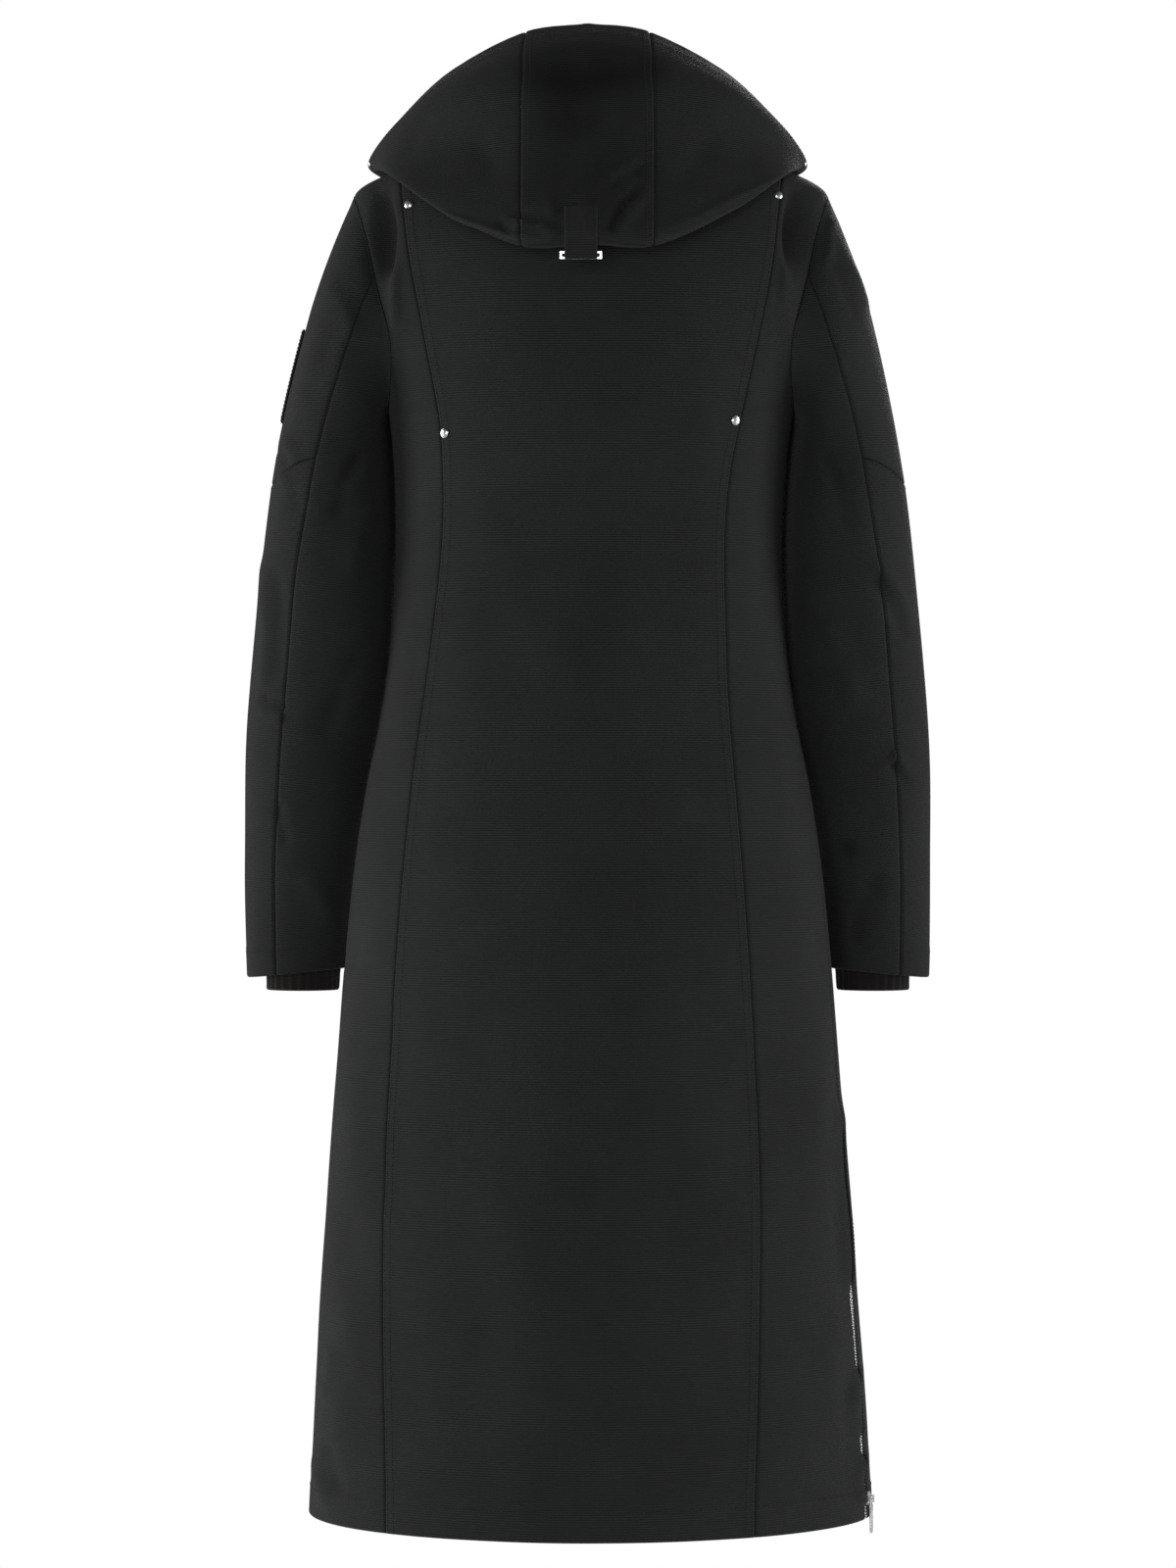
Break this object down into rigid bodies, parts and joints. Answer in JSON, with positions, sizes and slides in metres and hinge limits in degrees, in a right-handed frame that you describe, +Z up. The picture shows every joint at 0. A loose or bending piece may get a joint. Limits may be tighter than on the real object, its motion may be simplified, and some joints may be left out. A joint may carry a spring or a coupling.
{
  "type": "parka",
  "caption": "Long hooded parka, filled out as worn, hood down on the back, seamed back, side hem zips, ribbed inner cuffs and small metal studs.",
  "frame": {"origin": "middle between the two neck points of the shoulder seams, where the wearer's shoulders carry the garment", "axes": "+Z up, +Y towards the wearer's back, +X towards the wearer's left"},
  "size_m": [0.569, 0.3448, 1.219],
  "materials": {
    "shell_cloth": "matte ribbed weave",
    "rib_knit": "matte rib knit",
    "zip_tape": "matte twill tape",
    "patch_cloth": "matte plain weave",
    "silver_metal": "polished"
  },
  "bodies": {
    "garment": {"back_centre": "shell_cloth", "back_side_left": "shell_cloth", "back_side_right": "shell_cloth", "front_left": "shell_cloth", "front_right": "shell_cloth", "sleeve_upper_left": "shell_cloth", "sleeve_lower_left": "shell_cloth", "sleeve_under_left": "shell_cloth", "sleeve_upper_right": "shell_cloth", "sleeve_lower_right": "shell_cloth", "sleeve_under_right": "shell_cloth", "hood_centre": "shell_cloth", "hood_side_left": "shell_cloth", "hood_side_right": "shell_cloth", "hood_tab": "shell_cloth", "rib_cuff_left": "rib_knit", "rib_cuff_right": "rib_knit", "front_zip_tape": "zip_tape", "hood_zip_tape": "zip_tape", "side_zip_tape_left": "zip_tape", "side_zip_tape_right": "zip_tape", "sleeve_patch_left": "patch_cloth", "rivet_top_left": "silver_metal", "rivet_top_right": "silver_metal", "rivet_mid_left": "silver_metal", "rivet_mid_right": "silver_metal", "hood_tip_stud_left": "silver_metal", "hood_tip_stud_right": "silver_metal", "hood_tab_bar": "silver_metal", "zip_slider_front": "silver_metal", "zip_slider_left": "silver_metal", "zip_slider_right": "silver_metal"},
    "pull_front": {"zip_pull_front": "silver_metal"},
    "pull_left": {"zip_pull_left": "silver_metal"},
    "pull_right": {"zip_pull_right": "silver_metal"}
  },
  "joints": [
    {"name": "front_pull_swing", "type": "hinge", "parent": "garment", "child": "pull_front", "pos_m": [0, -0.12578, -0.01407], "axis": [-1, 0, 0], "range_deg": [0, 150]},
    {"name": "left_pull_swing", "type": "hinge", "parent": "garment", "child": "pull_left", "pos_m": [0.22607, -0.03918, -1.109], "axis": [-0.3575, -0.9339, 0], "range_deg": [0, 150]},
    {"name": "right_pull_swing", "type": "hinge", "parent": "garment", "child": "pull_right", "pos_m": [-0.22635, 0.03844, -1.109], "axis": [0.3399, 0.9405, 0], "range_deg": [0, 150]}
  ]
}
